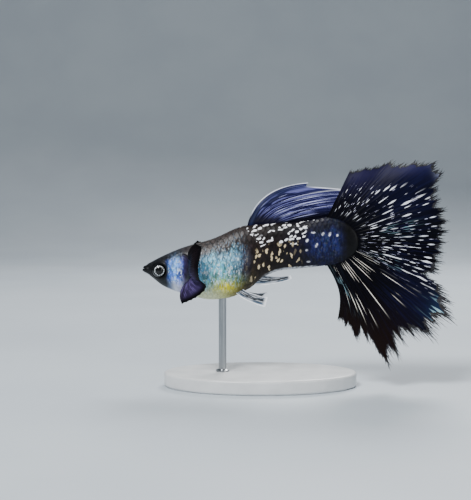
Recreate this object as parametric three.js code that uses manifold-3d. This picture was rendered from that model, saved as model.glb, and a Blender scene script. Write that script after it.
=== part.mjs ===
// A male fancy guppy with a spotted black fan tail, life size, as a still museum model on a small stand.
// Millimetres, +Z up. The fish swims towards -X, so its left side faces -Y. The origin is the middle of
// the underside of the stand's base. Fish measures are counted from the tip of the snout: x towards the
// tail, z up from the snout's level.

import * as THREE from "three";
import { mergeVertices } from "three/addons/utils/BufferGeometryUtils.js";
import Module from "manifold-3d";

const wasm = await Module();
wasm.setup();

// Driving sizes
const STANDARD_LENGTH = 32; // snout to the end of the scaled tail stalk
const SNOUT_X = -18.4; // snout tip from the middle of the base
const SNOUT_Z = 18.2; // snout tip above the floor
const GAP = 0.3; // left between pieces that touch
const STALK_ROUND = 3.6; // the stalk's rounded end, past its last section
const STALK_END = STANDARD_LENGTH - STALK_ROUND;
const GILL_CUT = 7.0; // where the head ends and the trunk begins
const STALK_CUT = 22.6; // where the trunk ends and the tail stalk begins

// The body's lines: rows are [distance from the snout, value]
const BODY_SIDES = 28; // points round the body
const TRUNK_STEPS = 13; // sections along the trunk, less one
const STALK_STEPS = 7;
const BACK = [
  [0.9, 0.8], [3.2, 2.0], [6.4, 3.35], [10.8, 4.62], [16.2, 6.75], [20.3, 7.1], [24, 7.25], [STALK_END, 8.05],
];
const BELLY = [
  [0.9, -0.9], [3.5, -2.8], [7, -4.0], [10.8, -4.72], [13, -4.55], [16.7, -3.0], [18.9, -1.2], [21.7, -0.15],
  [25, 0.18], [STALK_END, 0.6],
];
const HALF_WIDTH = [
  [0.9, 1.08], [2.5, 1.72], [4.5, 2.15], [7, 2.42], [11, 2.7], [15, 2.35], [19, 1.75], [24, 1.3],
  [STALK_END, 0.62],
];
const WIDEST_AT = [[0.9, 0.5], [4, 0.56], [10, 0.42], [20, 0.5], [STALK_END, 0.5]]; // share of the height
const BACK_SQUARENESS = [[0.9, 2.2], [4, 2.7], [9, 2.1], [16, 1.8], [STALK_END, 2]];
const BELLY_SQUARENESS = [[0.9, 2.1], [10, 2.15], [19, 1.8], [STALK_END, 2]];
// A section bows to the tail by this much at its middle
const SECTION_BULGE = [[0, 0], [5, 0], [7, 0.6], [9.5, 0], [22.5, 0], [STALK_END, STALK_ROUND]];
const BULGE_OUTSIDE = -0.2; // least share of that bow, past the skin
const SNOUT_SWEEP = [[0, 0.55], [1, 0.45], [3.5, 0], [30, 0]]; // a section's sides sit behind its middle
const HEAD_TURN = { off: 1.3, from: 14 }; // the snout points to the far side
const TAIL_TURN = { off: 0.9, from: 18 }; // the tail stalk comes to the near side

// The head. A lip ring is [distance from the snout, half width, half height], from inside the mouth out.
const LIP_RINGS = [
  [1.1, 0.35, 0.07], [0.6, 0.62, 0.08], [0.12, 0.74, 0.1], [0, 0.86, 0.24], [0.18, 0.98, 0.46],
  [0.5, 0.96, 0.58],
];
const UPPER_LIP_BACK = 0.3; // the upper lip sits behind the lower one by this share of its height
const HEAD_STATIONS = [0.9, 1.5, 2.2, 3, 3.8, 4.6, 5.4, 6.2, GILL_CUT];
const EYE = { x: 2.75, z: -0.2, off: 1.22, radius: 1.12, depth: 0.8, parts: [16, 12] };
const NOSTRIL = { x: 1.55, off: 0.62, radius: 0.17, parts: [8, 6] };
const GILL = {
  front: 4.55,
  rear: GILL_CUT,
  top: 52, // degrees round the body from the back
  bottom: 146,
  rows: 8,
  columns: 8,
  proud: 0.14,
  deep: 0.38,
  corners: 0.5, // how far the corners are drawn in
  degreesPerMm: 8, // a millimetre along its rim turns this far round the body
};
const CUT_PAST = 1; // a hollow's cutter stands out of the skin by this much

// Fins: half thicknesses, and rays as ridges
const MEMBRANE = 0.25;
const RIM_HALF = 0.13;
const RAY_RISE = 0.14; // a ray stands out of the membrane by this much on each face
const RAY_FOOT = 0.3; // a ray's half width, as a share of the distance between rays
const RAY_FADE = 0.8; // share of a ray's rise that is gone at the rim
const ROOT_SPAN = 0.18; // share of the reach over which the root thins
const RIM_SPAN = 0.2; // share of the reach over which the rim thins
const CLEAR_FIN = { root: 0.3, rise: 0.08 }; // root and rays of the small clear fins

// Caudal fin: a wide fan round the end of the stalk. Its first ray is at the top.
const TAIL = {
  rays: 31,
  rows: 12,
  root: 0.55,
  rootShare: 0.97, // share of the stalk's height that it grows from
  hub: [30.45, 4.04], // its reach is counted from here
  top: 81, // degrees above the level
  bottom: -91,
  frontBow: 1.2, // the lowest ray bows back by this much
  wave: { high: 1.1, count: 2.1, start: 0.1 },
  pleat: { high: 0.35, count: 6.3, start: 0.35 },
  spread: 1.6, // the waves grow outwards by this power
  lowerCorner: { near: 1.6, from: 0.6 }, // swings to the near side
  notch: 0.6, // depth of the notch between rays, as a share of the raggedness
};
// Rows are [degrees above the level, reach from the hub]
const TAIL_REACH = [
  [-91, 12], [-82, 14.2], [-74, 17.7], [-68, 20.3], [-58, 19.5], [-46, 19.4], [-34, 20], [-24, 18],
  [-20, 14.9], [-13, 16.2], [17, 17.2], [38, 19], [52, 16], [66, 13.2], [81, 11.3],
];
// Its ragged tips are drawn in a fixed order
const DRAW = { seed: 7, factor: 1664525, step: 1013904223, range: 2 ** 32 };
// Raggedness as a share of the reach, from the first ray, 0, to the last, 1
const TAIL_RAGGED = [[0, 0.05], [0.1, 0.05], [0.3, 0.09], [0.6, 0.07], [0.72, 0.12], [0.9, 0.17], [1, 0.08]];

// Dorsal fin: rises from the back and sweeps over the tail stalk, leaning to the far side
const DORSAL = { rays: 9, rows: 9, root: 0.42, base: [16.3, 21.9], lean: 0.24, trail: 0.13 };
const DORSAL_KNEES = { lead: [17.7, 12.9], last: [25.3, 7.7] };
const DORSAL_TIP_X = [[0, 25.9], [0.1, 25.6], [0.2, 32.0], [0.5, 32.8], [1, 31.2]];
const DORSAL_TIP_Z = [[0, 13.4], [0.12, 12.8], [0.2, 12.3], [0.5, 10.9], [1, 8.7]];

// Anal fin: the male's narrow rod, laid back under the tail stalk
const ANAL = { rays: 5, rows: 6, base: [17.2, 18.9] };
const ANAL_KNEES = { lead: [20.3, -2.75], last: [20.6, -1.25] };
const ANAL_TIPS = { lead: [23.3, -1.5], last: [23.1, -1.0] };

// Pectoral fins: broad fans held out from the sides like ears. Rows give each ray's tip from its root.
const PECTORAL = {
  rays: 12,
  rows: 7,
  root: 0.35,
  x: 8.3,
  top: 0.75,
  bottom: -0.85,
  cup: 1.1, // the fan's middle bows forward
};
const PECTORAL_BACK = [
  [0, 0.2], [0.12, 1.2], [0.3, 0.9], [0.45, 0.7], [0.6, 0.9], [0.72, 1.9], [0.86, 0.3], [1, -1.9],
];
const PECTORAL_UP = [[0, 3.5], [0.12, 3.1], [0.3, 1.7], [0.6, -0.8], [0.72, -1.8], [0.86, -3.3], [1, -4.2]];
const PECTORAL_OUT = [[0, 2.6], [0.18, 4.3], [0.5, 5.5], [0.75, 4.7], [0.9, 3.4], [1, 2.3]];

// Pelvic fins: two small clear fans under the belly, trailing back
const PELVIC = { rays: 6, rows: 6, off: 0.75, spread: 1.3 };
const PELVIC_SIDES = {
  left: {
    root: [14.5, 15.6],
    knees: { lead: [16.2, -5.15], last: [17.1, -4.0] },
    tips: { lead: [19.1, -5.75], last: [19.5, -4.25] },
    out: 1.1,
  },
  right: {
    root: [14.3, 15.4],
    knees: { lead: [16.3, -4.95], last: [17.3, -4.1] },
    tips: { lead: [18.7, -4.75], last: [19.6, -3.75] },
    out: 1.0,
  },
};

// Stand: a flat oval base and one short rod up to the belly
const BASE = { long: 30, wide: 19, thick: 2.2, chamfer: 0.4, curveSegments: 28 };
const ROD = { x: 12.5, radius: 0.6, sides: 16 };

const SIDES = { left: -1, right: 1 };
const MERGE = 1e-3; // points this close are one
const PROBE = 1e-3; // step for measuring a fin's slope
const SETTLE_PASSES = 6; // enough to find the section that passes through a place on the skin

const listOf = (length, make) => Array.from({ length }, (_, i) => make(i));

// A smooth, never overshooting curve through rows of [x, value]
function curve(rows) {
  const last = rows.length - 1;
  const steepness = (i) => (rows[i + 1][1] - rows[i][1]) / (rows[i + 1][0] - rows[i][0]);
  const slopes = rows.map((_, i) => {
    if (i === 0 || i === last) {
      return steepness(Math.min(i, last - 1));
    }
    const before = steepness(i - 1);
    const after = steepness(i);
    return before * after <= 0 ? 0 : (2 * before * after) / (before + after);
  });
  return (x) => {
    const at = THREE.MathUtils.clamp(x, rows[0][0], rows[last][0]);
    const beyond = rows.findIndex((row) => row[0] > at);
    const k = beyond < 0 ? last - 1 : beyond - 1;
    const [startX, start] = rows[k];
    const [endX, end] = rows[k + 1];
    const width = endX - startX;
    const u = (at - startX) / width;
    const rise = u * u * (3 - 2 * u);
    const bend = slopes[k] * u * (1 - u) * (1 - u) - slopes[k + 1] * u * u * (1 - u);
    return start * (1 - rise) + end * rise + width * bend;
  };
}

const back = curve(BACK);
const belly = curve(BELLY);
const halfWidth = curve(HALF_WIDTH);
const widestAt = curve(WIDEST_AT);
const backSquareness = curve(BACK_SQUARENESS);
const bellySquareness = curve(BELLY_SQUARENESS);
const sectionBulge = curve(SECTION_BULGE);
const snoutSweep = curve(SNOUT_SWEEP);
const tailReach = curve(TAIL_REACH);
const tailRagged = curve(TAIL_RAGGED);
const dorsalTipX = curve(DORSAL_TIP_X);
const dorsalTipZ = curve(DORSAL_TIP_Z);
const pectoralBack = curve(PECTORAL_BACK);
const pectoralUp = curve(PECTORAL_UP);
const pectoralOut = curve(PECTORAL_OUT);

// Body

// How far the body's middle line lies from the straight line, as the fish swims
function sway(x) {
  const head = Math.max(0, (HEAD_TURN.from - x) / HEAD_TURN.from);
  const stalkLength = STANDARD_LENGTH - TAIL_TURN.from;
  const tail = Math.max(0, (x - TAIL_TURN.from) / stalkLength);
  const slope = (2 * TAIL_TURN.off) / stalkLength;
  const straight = TAIL_TURN.off + slope * (x - STANDARD_LENGTH);
  const bent = tail <= 1 ? TAIL_TURN.off * tail * tail : straight;
  return HEAD_TURN.off * head * head - bent;
}

function section(station) {
  const top = back(station);
  const bottom = belly(station);
  return {
    top,
    bottom,
    widest: bottom + widestAt(station) * (top - bottom),
    middle: (top + bottom) / 2,
    half: (top - bottom) / 2,
    width: halfWidth(station),
  };
}

// A point on the skin. The angle runs from the back over the left side to the belly, and out lifts it off
// the skin.
function skin(station, angle, out = 0) {
  const s = section(station);
  const up = Math.cos(angle);
  const side = -Math.sin(angle);
  const power = 2 / (up >= 0 ? backSquareness(station) : bellySquareness(station));
  const height = up >= 0 ? s.top - s.widest : s.widest - s.bottom;
  const y = Math.sign(side) * Math.abs(side) ** power * (s.width + out);
  const z = s.widest + Math.sign(up) * Math.abs(up) ** power * (height + out);
  const share = (z - s.middle) / s.half;
  const swept = snoutSweep(station) * (y / s.width) ** 2;
  const x = station + sectionBulge(station) * Math.max(BULGE_OUTSIDE, 1 - share * share) + swept;
  return new THREE.Vector3(x, y + sway(x), z);
}

function skinRing(station) {
  return listOf(BODY_SIDES, (j) => skin(station, (2 * Math.PI * j) / BODY_SIDES));
}

function lipRing([x, wide, high]) {
  return listOf(BODY_SIDES, (j) => {
    const angle = (2 * Math.PI * j) / BODY_SIDES;
    const y = -Math.sin(angle) * wide;
    const z = Math.cos(angle) * high;
    const place = x + UPPER_LIP_BACK * z + snoutSweep(0) * (y / wide) ** 2;
    return new THREE.Vector3(place, y + sway(place), z);
  });
}

// How far out the skin lies at a height, as a share of the body's half width there
function outShare(station, z) {
  const s = section(station);
  const upper = z >= s.widest;
  const power = upper ? backSquareness(station) : bellySquareness(station);
  const height = upper ? s.top - s.widest : s.widest - s.bottom;
  const share = Math.min(1, Math.abs(z - s.widest) / height);
  return (1 - share ** power) ** (1 / power);
}

// Height of the skin over a place off the middle line, on the back or the belly
function skinHeight(station, off, edge, squareness) {
  const s = section(station);
  const power = squareness(station);
  return s.widest + (edge(station) - s.widest) * (1 - (Math.abs(off) / s.width) ** power) ** (1 / power);
}

const underAt = (x, off) => skinHeight(x, off, belly, bellySquareness);
const overAt = (x, off) => skinHeight(x, off, back, backSquareness);

// Closed solids from triangles

function solidFrom(geometry) {
  const plain = geometry.clone();
  plain.deleteAttribute("normal");
  plain.deleteAttribute("uv");
  const merged = mergeVertices(plain, MERGE);
  const vertProperties = merged.attributes.position.array;
  const triVerts = new Uint32Array(merged.index.array);
  const made = new wasm.Manifold(new wasm.Mesh({ numProp: 3, vertProperties, triVerts }));
  if (made.volume() >= 0) {
    return made;
  }
  // its faces point inwards, so each is turned round
  const turned = triVerts.map((_, i) => triVerts[3 * Math.floor(i / 3) + ((3 - (i % 3)) % 3)]);
  return new wasm.Manifold(new wasm.Mesh({ numProp: 3, vertProperties, triVerts: turned }));
}

function solidOf(points, triangles) {
  const geometry = new THREE.BufferGeometry();
  const places = points.flatMap((point) => point.toArray());
  geometry.setAttribute("position", new THREE.Float32BufferAttribute(places, 3));
  geometry.setIndex(triangles);
  return solidFrom(geometry);
}

function largest(solid) {
  return solid.decompose().sort((a, b) => b.volume() - a.volume())[0];
}

function geometryOf(solid) {
  const mesh = solid.getMesh();
  const geometry = new THREE.BufferGeometry();
  geometry.setAttribute("position", new THREE.BufferAttribute(new Float32Array(mesh.vertProperties), 3));
  geometry.setIndex(new THREE.BufferAttribute(new Uint32Array(mesh.triVerts), 1));
  geometry.computeVertexNormals();
  return geometry;
}

// A solid through rings of points, each end closed by a ladder from its left side to its right
function loft(rings) {
  const count = rings[0].length;
  const triangles = [];
  for (let i = 0; i + 1 < rings.length; i++) {
    for (let j = 0; j < count; j++) {
      const a = i * count + j;
      const b = i * count + ((j + 1) % count);
      triangles.push(a, b, b + count, a, b + count, a + count);
    }
  }
  const ladder = (first, atStart) => {
    for (let j = 0; j < count / 2; j++) {
      const left = [first + j, first + j + 1];
      const right = [first + ((count - j) % count), first + count - j - 1];
      const rungs = [
        [left[0], right[0], left[1]],
        [left[1], right[0], right[1]],
      ];
      const faces = rungs.filter((face) => new Set(face).size === 3);
      triangles.push(...faces.flatMap(([p, q, r]) => (atStart ? [p, q, r] : [p, r, q])));
    }
  };
  ladder(0, true);
  ladder((rings.length - 1) * count, false);
  return solidOf(rings.flat(), triangles);
}

// A closed plate between an inner and an outer sheet of the same grid, split alike on both
function plate(rows, columns, inner, outer) {
  const half = (rows + 1) * (columns + 1);
  const grid = (place) => listOf(half, (n) => place(Math.floor(n / (columns + 1)), n % (columns + 1)));
  const at = (r, c) => r * (columns + 1) + c;
  const triangles = [];
  for (let r = 0; r < rows; r++) {
    for (let c = 0; c < columns; c++) {
      const [p, q, s, t] = [at(r, c), at(r, c + 1), at(r + 1, c + 1), at(r + 1, c)];
      triangles.push(p, q, s, p, s, t);
      triangles.push(p + half, s + half, q + half, p + half, t + half, s + half);
    }
  }
  const rim = [
    ...listOf(columns, (c) => at(0, c)),
    ...listOf(rows, (r) => at(r, columns)),
    ...listOf(columns, (c) => at(rows, columns - c)),
    ...listOf(rows, (r) => at(rows - r, 0)),
  ];
  rim.forEach((a, i) => {
    const b = rim[(i + 1) % rim.length];
    triangles.push(a, a + half, b + half, a, b + half, b);
  });
  return solidOf([...grid(inner), ...grid(outer)], triangles);
}

// Head, gill covers and eyes

function eyeball(side, grow) {
  const ball = new THREE.SphereGeometry(1, ...EYE.parts);
  ball.rotateX(Math.PI / 2);
  ball.scale(EYE.radius + grow, EYE.depth + grow, EYE.radius + grow);
  ball.translate(EYE.x, side * EYE.off + sway(EYE.x), EYE.z);
  return solidFrom(ball);
}

function nostrilPit(side) {
  const pit = new THREE.SphereGeometry(NOSTRIL.radius, ...NOSTRIL.parts);
  pit.translate(NOSTRIL.x, side * NOSTRIL.off + sway(NOSTRIL.x), overAt(NOSTRIL.x, NOSTRIL.off));
  return solidFrom(pit);
}

// A gill cover is a rounded patch of the head's own side; grow widens it into the hollow that it lies in
function gillPatch(side, inner, outer, grow) {
  const middle = (GILL.top + GILL.bottom) / 2;
  const halfTurn = (GILL.bottom - GILL.top) / 2 + grow * GILL.degreesPerMm;
  const halfLength = (GILL.rear - GILL.front) / 2 + grow;
  const place = (out) => (r, c) => {
    const u = (2 * c) / GILL.columns - 1;
    const w = (2 * r) / GILL.rows - 1;
    const angle = middle + halfTurn * w * Math.sqrt(1 - GILL.corners * u * u);
    const station = (GILL.rear + GILL.front) / 2 + halfLength * u * Math.sqrt(1 - GILL.corners * w * w);
    return skin(station, -side * THREE.MathUtils.degToRad(angle), out);
  };
  return plate(GILL.rows, GILL.columns, place(inner), place(outer));
}

function head() {
  const rings = [...LIP_RINGS.map(lipRing), ...HEAD_STATIONS.map(skinRing)];
  const hollows = Object.values(SIDES).flatMap((side) => [
    eyeball(side, GAP),
    gillPatch(side, -GILL.deep - GAP, GILL.proud + CUT_PAST, GAP),
    nostrilPit(side),
  ]);
  return largest(hollows.reduce((solid, hollow) => solid.subtract(hollow), loft(rings)));
}

// Trunk and tail stalk

function bodyPiece(from, to, steps) {
  return loft(listOf(steps + 1, (i) => skinRing(from + ((to - from) * i) / steps)));
}

// Fins

// sheet(t, v) is the fin's middle surface, t from the first ray to the last, v from the root to the tip.
// reach(t, onRay) says how much of v the fin fills there.
function fin({ rays, rows, sheet, reach = () => 1, root, rise = RAY_RISE }) {
  const step = 1 / (rays - 1);
  const spots = listOf(rays, (i) => [
    { t: (i - RAY_FOOT) * step, onRay: 0 },
    { t: i * step, onRay: 1 },
    { t: (i + RAY_FOOT) * step, onRay: 0 },
  ]);
  const columns = spots.flat().slice(1, -1);
  const faceAt = (r, c, side) => {
    const { t, onRay } = columns[c];
    const share = r / rows;
    const v = share * reach(t, onRay);
    const across = sheet(Math.min(t + PROBE, 1), v).sub(sheet(Math.max(t - PROBE, 0), v));
    const along = sheet(t, v + PROBE).sub(sheet(t, v - PROBE));
    const normal = across.cross(along).normalize();
    const fromRoot = Math.max(0, 1 - share / ROOT_SPAN);
    const toRim = Math.max(0, (share - (1 - RIM_SPAN)) / RIM_SPAN);
    const base = MEMBRANE + (root - MEMBRANE) * fromRoot ** 2 + (RIM_HALF - MEMBRANE) * toRim;
    const ridge = onRay * rise * (1 - fromRoot) * (1 - RAY_FADE * toRim);
    return sheet(t, v).addScaledVector(normal, side * (base + ridge));
  };
  const face = (side) => (r, c) => faceAt(r, c, side);
  return plate(rows, columns.length - 1, face(-1), face(1));
}

const upright = ([x, z]) => new THREE.Vector3(x, 0, z);
const between = ({ lead, last }, t) => upright(lead).lerp(upright(last), t);

// A curve through three points that leaves the first towards the second
function bow(a, b, c, v) {
  const near = a.clone().lerp(b, v);
  const far = b.clone().lerp(c, v);
  return near.lerp(far, v);
}

function stalkRim(t) {
  const s = section(STALK_END);
  const share = TAIL.rootShare * (1 - 2 * t);
  const point = upright([STALK_END + STALK_ROUND * (1 - share * share), s.middle + s.half * share]);
  const outward = upright([s.half, 2 * STALK_ROUND * share]).normalize();
  return point.addScaledVector(outward, GAP);
}

function tailSheet(t, v) {
  const degrees = TAIL.top + (TAIL.bottom - TAIL.top) * t;
  const angle = THREE.MathUtils.degToRad(degrees);
  const reach = tailReach(degrees);
  const tip = upright([TAIL.hub[0] + reach * Math.cos(angle), TAIL.hub[1] + reach * Math.sin(angle)]);
  const point = stalkRim(t).lerp(tip, v);
  point.x += TAIL.frontBow * Math.sin(Math.PI * Math.min(v, 1)) * Math.max(0, 2 * t - 1) ** 3;
  const wavy = ({ high, count, start }) => high * Math.sin(2 * Math.PI * (count * t + start));
  const corner = Math.max(0, (t - TAIL.lowerCorner.from) / (1 - TAIL.lowerCorner.from)) ** 2;
  const aside = wavy(TAIL.wave) + wavy(TAIL.pleat) - TAIL.lowerCorner.near * corner;
  point.y = sway(point.x) + Math.max(0, v) ** TAIL.spread * aside;
  return point;
}

// Ragged tips: each ray ends short by a random share, and the membrane dips between rays
function tailFill() {
  let state = DRAW.seed;
  const draws = listOf(TAIL.rays, () => {
    state = (state * DRAW.factor + DRAW.step) % DRAW.range;
    return state / DRAW.range;
  });
  return (t, onRay) => {
    const tip = 1 - tailRagged(t) * draws[Math.round(t * (TAIL.rays - 1))];
    return onRay ? tip : tip - TAIL.notch * tailRagged(t);
  };
}

function dorsalSheet(t, v) {
  const x = THREE.MathUtils.lerp(...DORSAL.base, t);
  const foot = upright([x, back(x) + GAP]);
  const point = bow(foot, between(DORSAL_KNEES, t), upright([dorsalTipX(t), dorsalTipZ(t)]), v);
  const lift = Math.max(0, point.z - back(x) - GAP);
  const trail = Math.max(0, point.x - DORSAL.base[1]);
  point.y = sway(x) + DORSAL.lean * lift + DORSAL.trail * trail;
  return point;
}

function analSheet(t, v) {
  const x = THREE.MathUtils.lerp(...ANAL.base, t);
  const foot = upright([x, belly(x) - GAP]);
  const point = bow(foot, between(ANAL_KNEES, t), between(ANAL_TIPS, t), v);
  point.y = sway(point.x);
  return point;
}

function pectoralSheet(side) {
  return (t, v) => {
    const z = THREE.MathUtils.lerp(PECTORAL.top, PECTORAL.bottom, t);
    // the section there bows back, so the skin at the root's x comes from a section in front of it
    let station = PECTORAL.x;
    for (let pass = 0; pass < SETTLE_PASSES; pass++) {
      const s = section(station);
      station = PECTORAL.x - sectionBulge(station) * (1 - ((z - s.middle) / s.half) ** 2);
    }
    const off = halfWidth(station) * outShare(station, z) + GAP;
    const cup = PECTORAL.cup * Math.sin(Math.PI * THREE.MathUtils.clamp(v, 0, 1));
    const y = sway(PECTORAL.x) + side * (off + pectoralOut(t) * v);
    return new THREE.Vector3(PECTORAL.x + pectoralBack(t) * v - cup, y, z + pectoralUp(t) * v);
  };
}

function pelvicSheet(side, { root, knees, tips, out }) {
  return (t, v) => {
    const x = THREE.MathUtils.lerp(...root, t);
    const foot = upright([x, underAt(x, PELVIC.off) - GAP]);
    const point = bow(foot, between(knees, t), between(tips, t), v);
    point.y = sway(x) + side * (PELVIC.off + out * Math.max(0, v) ** PELVIC.spread);
    return point;
  };
}

// Stand

function standBase() {
  const oval = new THREE.Shape();
  oval.absellipse(0, 0, BASE.long / 2 - BASE.chamfer, BASE.wide / 2 - BASE.chamfer, 0, 2 * Math.PI);
  const slab = new THREE.ExtrudeGeometry(oval, {
    depth: BASE.thick - 2 * BASE.chamfer,
    bevelThickness: BASE.chamfer,
    bevelSize: BASE.chamfer,
    bevelSegments: 1,
    curveSegments: BASE.curveSegments,
  });
  slab.translate(0, 0, BASE.chamfer);
  return solidFrom(slab);
}

function standRod() {
  const ring = (heightAt) =>
    listOf(ROD.sides, (j) => {
      const angle = (2 * Math.PI * j) / ROD.sides;
      const x = ROD.x + ROD.radius * Math.cos(angle);
      const y = ROD.radius * Math.sin(angle);
      return new THREE.Vector3(x, sway(ROD.x) + y, heightAt(x, y));
    });
  const foot = ring(() => BASE.thick + GAP - SNOUT_Z);
  const top = ring((x, y) => underAt(x, y) - GAP);
  return loft([foot, top]);
}

// Assembly

const LOOKS = {
  head: { color: "#5b6170", roughness: 0.35, metalness: 0.2 },
  gill: { color: "#8fb4e6", roughness: 0.25, metalness: 0.4 },
  flank: { color: "#7d8a78", roughness: 0.35, metalness: 0.2 },
  stalk: { color: "#252c5c", roughness: 0.35, metalness: 0.2 },
  tail: { color: "#0d0c18", roughness: 0.45 },
  dorsal: { color: "#5a5ca8", roughness: 0.4 },
  pectoral: { color: "#15121c", roughness: 0.45 },
  clear: { color: "#c3cdd6", roughness: 0.3 },
  eye: { color: "#0a0a0c", roughness: 0.08 },
  base: { color: "#d9dadb", roughness: 0.35 },
  rod: { color: "#b9bcbf", roughness: 0.3, metalness: 0.9 },
};

const guppy = new THREE.Group();
const fish = new THREE.Group();
fish.position.set(SNOUT_X, 0, SNOUT_Z);
guppy.add(fish);

function add(name, solid, look, parent = fish) {
  const mesh = new THREE.Mesh(geometryOf(solid), new THREE.MeshStandardMaterial(look));
  mesh.name = name;
  parent.add(mesh);
}

add("head", head(), LOOKS.head);
add("trunk", bodyPiece(GILL_CUT + GAP, STALK_CUT - GAP, TRUNK_STEPS), LOOKS.flank);
add("tail_stalk", bodyPiece(STALK_CUT, STALK_END, STALK_STEPS), LOOKS.stalk);
for (const [name, side] of Object.entries(SIDES)) {
  const pelvic = pelvicSheet(side, PELVIC_SIDES[name]);
  add(`eye_${name}`, eyeball(side, 0), LOOKS.eye);
  add(`gill_cover_${name}`, gillPatch(side, -GILL.deep, GILL.proud, 0), LOOKS.gill);
  add(`pectoral_fin_${name}`, fin({ ...PECTORAL, sheet: pectoralSheet(side) }), LOOKS.pectoral);
  add(`pelvic_fin_${name}`, fin({ ...PELVIC, ...CLEAR_FIN, sheet: pelvic }), LOOKS.clear);
}
add("dorsal_fin", fin({ ...DORSAL, sheet: dorsalSheet }), LOOKS.dorsal);
add("anal_fin", fin({ ...ANAL, ...CLEAR_FIN, sheet: analSheet }), LOOKS.clear);
add("caudal_fin", fin({ ...TAIL, sheet: tailSheet, reach: tailFill() }), LOOKS.tail);
add("stand_base", standBase(), LOOKS.base, guppy);
add("stand_rod", standRod(), LOOKS.rod);

export default guppy;
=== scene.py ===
import math
from functools import partial

import bmesh
import bpy
import numpy as np
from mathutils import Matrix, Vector


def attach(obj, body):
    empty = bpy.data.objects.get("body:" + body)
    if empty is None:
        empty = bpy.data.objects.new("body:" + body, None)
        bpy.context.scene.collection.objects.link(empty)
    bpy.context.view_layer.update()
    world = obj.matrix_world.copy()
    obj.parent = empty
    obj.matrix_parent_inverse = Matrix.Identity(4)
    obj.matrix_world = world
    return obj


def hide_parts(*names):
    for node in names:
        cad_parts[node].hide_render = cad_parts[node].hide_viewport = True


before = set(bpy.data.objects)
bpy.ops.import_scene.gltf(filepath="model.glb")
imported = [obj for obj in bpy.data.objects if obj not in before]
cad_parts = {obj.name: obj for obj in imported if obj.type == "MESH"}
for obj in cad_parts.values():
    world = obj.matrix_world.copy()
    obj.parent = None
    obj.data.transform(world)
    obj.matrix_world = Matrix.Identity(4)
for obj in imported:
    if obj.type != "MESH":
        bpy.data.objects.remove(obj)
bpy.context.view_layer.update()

# A male fancy guppy with a spotted black fan tail. Fish measures are in millimetres from the tip of the
# snout, x towards the tail and z up; the fish's left side faces -Y.
MM = 0.001
SNOUT_X = -18.4
SNOUT_Z = 18.2
ROOTED = -0.25  # fins start this far under the skin
SIDES = {"left": -1, "right": 1}


def smooth(start, end, x):
    """0 before start, 1 after end, and a soft step between; start may be the larger."""
    u = np.clip((x - start) / (end - start), 0, 1)
    return u * u * (3 - 2 * u)


def hill(x, middle, width):
    """A soft hill, 1 at its middle."""
    return np.exp(-(((x - middle) / width) ** 2))


def curve(rows):
    """A smooth curve through rows of (x, value) that never overshoots."""
    xs, ys = np.array(rows, float).T
    steps = np.diff(ys) / np.diff(xs)
    turning = steps[:-1] * steps[1:]
    slopes = np.concatenate([steps[:1], np.zeros(len(steps) - 1), steps[-1:]])
    same = turning > 0
    slopes[1:-1][same] = 2 * turning[same] / (steps[:-1] + steps[1:])[same]

    def at(x):
        x = np.clip(x, xs[0], xs[-1])
        k = np.clip(np.searchsorted(xs, x, "right") - 1, 0, len(xs) - 2)
        width = xs[k + 1] - xs[k]
        u = (x - xs[k]) / width
        rise = u * u * (3 - 2 * u)
        bend = slopes[k] * u * (1 - u) ** 2 - slopes[k + 1] * u * u * (1 - u)
        return ys[k] * (1 - rise) + ys[k + 1] * rise + width * bend

    return at


def to_linear(code):
    """Linear red, green and blue of an sRGB hex colour."""
    parts = [int(code[i : i + 2], 16) / 255 for i in (1, 3, 5)]
    return np.array([c / 12.92 if c <= 0.04045 else ((c + 0.055) / 1.055) ** 2.4 for c in parts])


# The body's lines, as rows of (distance from the snout, value)
back = curve(
    [(0.9, 0.8), (3.2, 2.0), (6.4, 3.35), (10.8, 4.62), (16.2, 6.75), (20.3, 7.1), (24, 7.25), (28.4, 8.05)]
)
belly = curve(
    [(0.9, -0.9), (3.5, -2.8), (7, -4.0), (10.8, -4.72), (13, -4.55), (16.7, -3.0), (18.9, -1.2)]
    + [(21.7, -0.15), (25, 0.18), (28.4, 0.6)]
)
half_width = curve(
    [(0.9, 1.08), (2.5, 1.72), (4.5, 2.15), (7, 2.42), (11, 2.7), (15, 2.35), (19, 1.75), (24, 1.3)]
    + [(28.4, 0.62)]
)
widest_at = curve([(0.9, 0.5), (4, 0.56), (10, 0.42), (20, 0.5), (28.4, 0.5)])
back_squareness = curve([(0.9, 2.2), (4, 2.7), (9, 2.1), (16, 1.8), (28.4, 2)])
belly_squareness = curve([(0.9, 2.1), (10, 2.15), (19, 1.8), (28.4, 2)])
section_bulge = curve([(0, 0), (5, 0), (7, 0.6), (9.5, 0), (22.5, 0), (28.4, 3.6)])
snout_sweep = curve([(0, 0.55), (1, 0.45), (3.5, 0), (30, 0)])
HEAD_START = 0.9  # the lips end and the head's own rings start here
STALK_END = 28.4  # the stalk's last ring


def sway(x):
    """How far the body's middle line lies off the straight, as the fish swims."""
    head = np.maximum(0, (14 - x) / 14)
    tail = np.maximum(0, (x - 18) / 14)
    bent = np.where(tail <= 1, 0.9 * tail**2, 0.9 + 1.8 / 14 * (x - 32))
    return 1.3 * head**2 - bent


def section(x):
    """Height of the back, of the belly and of the widest place between."""
    top = back(x)
    bottom = belly(x)
    return top, bottom, bottom + widest_at(x) * (top - bottom)


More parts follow.
